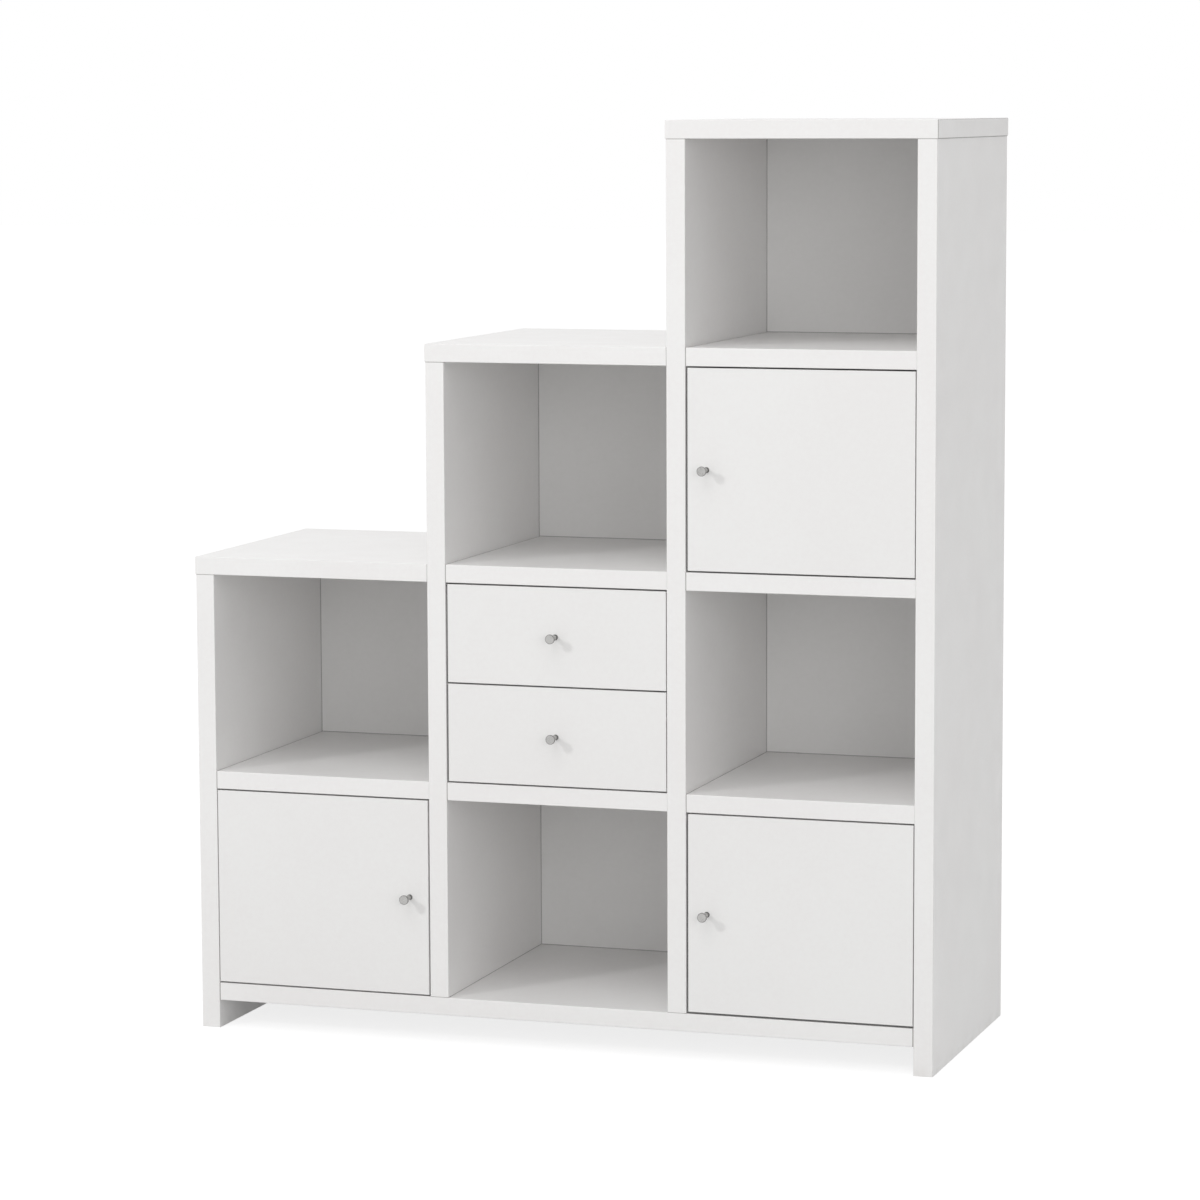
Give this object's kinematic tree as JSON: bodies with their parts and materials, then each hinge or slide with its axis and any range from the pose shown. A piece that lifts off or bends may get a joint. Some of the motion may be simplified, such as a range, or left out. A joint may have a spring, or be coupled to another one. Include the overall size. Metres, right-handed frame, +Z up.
{
  "type": "stepped cube bookcase",
  "caption": "Free-standing white cube bookcase with a stepped outline, open compartments, inset hinged doors and small sliding drawers with round metal knobs.",
  "frame": {"origin": "on the floor, at the middle of the box that holds the closed bookcase, knobs included", "axes": "+Z up; the front with its doors, drawers and knobs faces -Y; +X towards the tall end"},
  "size_m": [1.203, 0.487, 1.441],
  "materials": {
    "white_board": "satin white foil on board",
    "front_board": "satin white foil on board",
    "back_board": "matte white fibreboard",
    "drawer_board": "matte white foil on board",
    "tongue_wood": "raw wood",
    "hinge_nickel": "nickel plated",
    "rail_white": "white epoxy coat",
    "roller_white": "moulded nylon",
    "knob_nickel": "satin nickel"
  },
  "bodies": {
    "carcass": {"bottom_panel": "white_board", "high_divider": "white_board", "high_top": "white_board", "hinge_arms": "hinge_nickel", "hinge_plates": "hinge_nickel", "joint_tongues": "tongue_wood", "left_back": "back_board", "left_cabinet_rails": "rail_white", "left_shelf": "white_board", "left_side": "white_board", "low_divider": "white_board", "low_top": "white_board", "middle_back": "back_board", "middle_lower_shelf": "white_board", "middle_top": "white_board", "middle_upper_shelf": "white_board", "right_back": "back_board", "right_cabinet_rails": "rail_white", "right_lower_shelf": "white_board", "right_middle_shelf": "white_board", "right_side": "white_board", "right_upper_shelf": "white_board"},
    "left_door": {"left_door": "front_board", "left_door_hinge_cups": "hinge_nickel", "left_door_hinge_pins": "hinge_nickel", "left_door_knob": "knob_nickel"},
    "lower_drawer": {"lower_drawer_back": "drawer_board", "lower_drawer_bottom": "drawer_board", "lower_drawer_front": "front_board", "lower_drawer_knob": "knob_nickel", "lower_drawer_left_side": "drawer_board", "lower_drawer_rails": "rail_white", "lower_drawer_right_side": "drawer_board"},
    "lower_drawer_front_rollers": {"lower_drawer_front_rollers": "roller_white"},
    "lower_drawer_rear_rollers": {"lower_drawer_rear_rollers": "roller_white"},
    "lower_right_door": {"lower_right_door": "front_board", "lower_right_door_hinge_cups": "hinge_nickel", "lower_right_door_hinge_pins": "hinge_nickel", "lower_right_door_knob": "knob_nickel"},
    "upper_drawer": {"upper_drawer_back": "drawer_board", "upper_drawer_bottom": "drawer_board", "upper_drawer_front": "front_board", "upper_drawer_knob": "knob_nickel", "upper_drawer_left_side": "drawer_board", "upper_drawer_rails": "rail_white", "upper_drawer_right_side": "drawer_board"},
    "upper_drawer_front_rollers": {"upper_drawer_front_rollers": "roller_white"},
    "upper_drawer_rear_rollers": {"upper_drawer_rear_rollers": "roller_white"},
    "upper_right_door": {"upper_right_door": "front_board", "upper_right_door_hinge_cups": "hinge_nickel", "upper_right_door_hinge_pins": "hinge_nickel", "upper_right_door_knob": "knob_nickel"}
  },
  "joints": [
    {"name": "left_door_hinge", "type": "hinge", "parent": "carcass", "child": "left_door", "pos_m": [-0.5545, -0.21, 0.23], "axis": [0, 0, -1], "range_deg": [0, 95]},
    {"name": "upper_right_door_hinge", "type": "hinge", "parent": "carcass", "child": "upper_right_door", "pos_m": [0.5545, -0.21, 0.914], "axis": [0, 0, 1], "range_deg": [0, 95]},
    {"name": "lower_right_door_hinge", "type": "hinge", "parent": "carcass", "child": "lower_right_door", "pos_m": [0.5545, -0.21, 0.23], "axis": [0, 0, 1], "range_deg": [0, 95]},
    {"name": "lower_drawer_slide", "type": "slide", "parent": "carcass", "child": "lower_drawer", "axis": [0, -1, 0], "range_m": [0, 0.3]},
    {"name": "lower_drawer_front_rollers_turn", "type": "hinge", "parent": "carcass", "child": "lower_drawer_front_rollers", "pos_m": [0, -0.1845, 0.4332], "axis": [1, 0, 0], "range_deg": [-5, 2160]},
    {"name": "lower_drawer_rear_rollers_turn", "type": "hinge", "parent": "lower_drawer", "child": "lower_drawer_rear_rollers", "pos_m": [0, 0.1875, 0.4332], "axis": [1, 0, 0], "range_deg": [-5, 2160]},
    {"name": "upper_drawer_slide", "type": "slide", "parent": "carcass", "child": "upper_drawer", "axis": [0, -1, 0], "range_m": [0, 0.3]},
    {"name": "upper_drawer_front_rollers_turn", "type": "hinge", "parent": "carcass", "child": "upper_drawer_front_rollers", "pos_m": [0, -0.1845, 0.58895], "axis": [1, 0, 0], "range_deg": [-5, 2160]},
    {"name": "upper_drawer_rear_rollers_turn", "type": "hinge", "parent": "upper_drawer", "child": "upper_drawer_rear_rollers", "pos_m": [0, 0.1875, 0.58895], "axis": [1, 0, 0], "range_deg": [-5, 2160]}
  ],
  "couplings": [
    {"joint": "lower_drawer_front_rollers_turn", "follows": "lower_drawer_slide", "rad_per_m": 125},
    {"joint": "lower_drawer_rear_rollers_turn", "follows": "lower_drawer_slide", "rad_per_m": 125},
    {"joint": "upper_drawer_front_rollers_turn", "follows": "upper_drawer_slide", "rad_per_m": 125},
    {"joint": "upper_drawer_rear_rollers_turn", "follows": "upper_drawer_slide", "rad_per_m": 125}
  ]
}
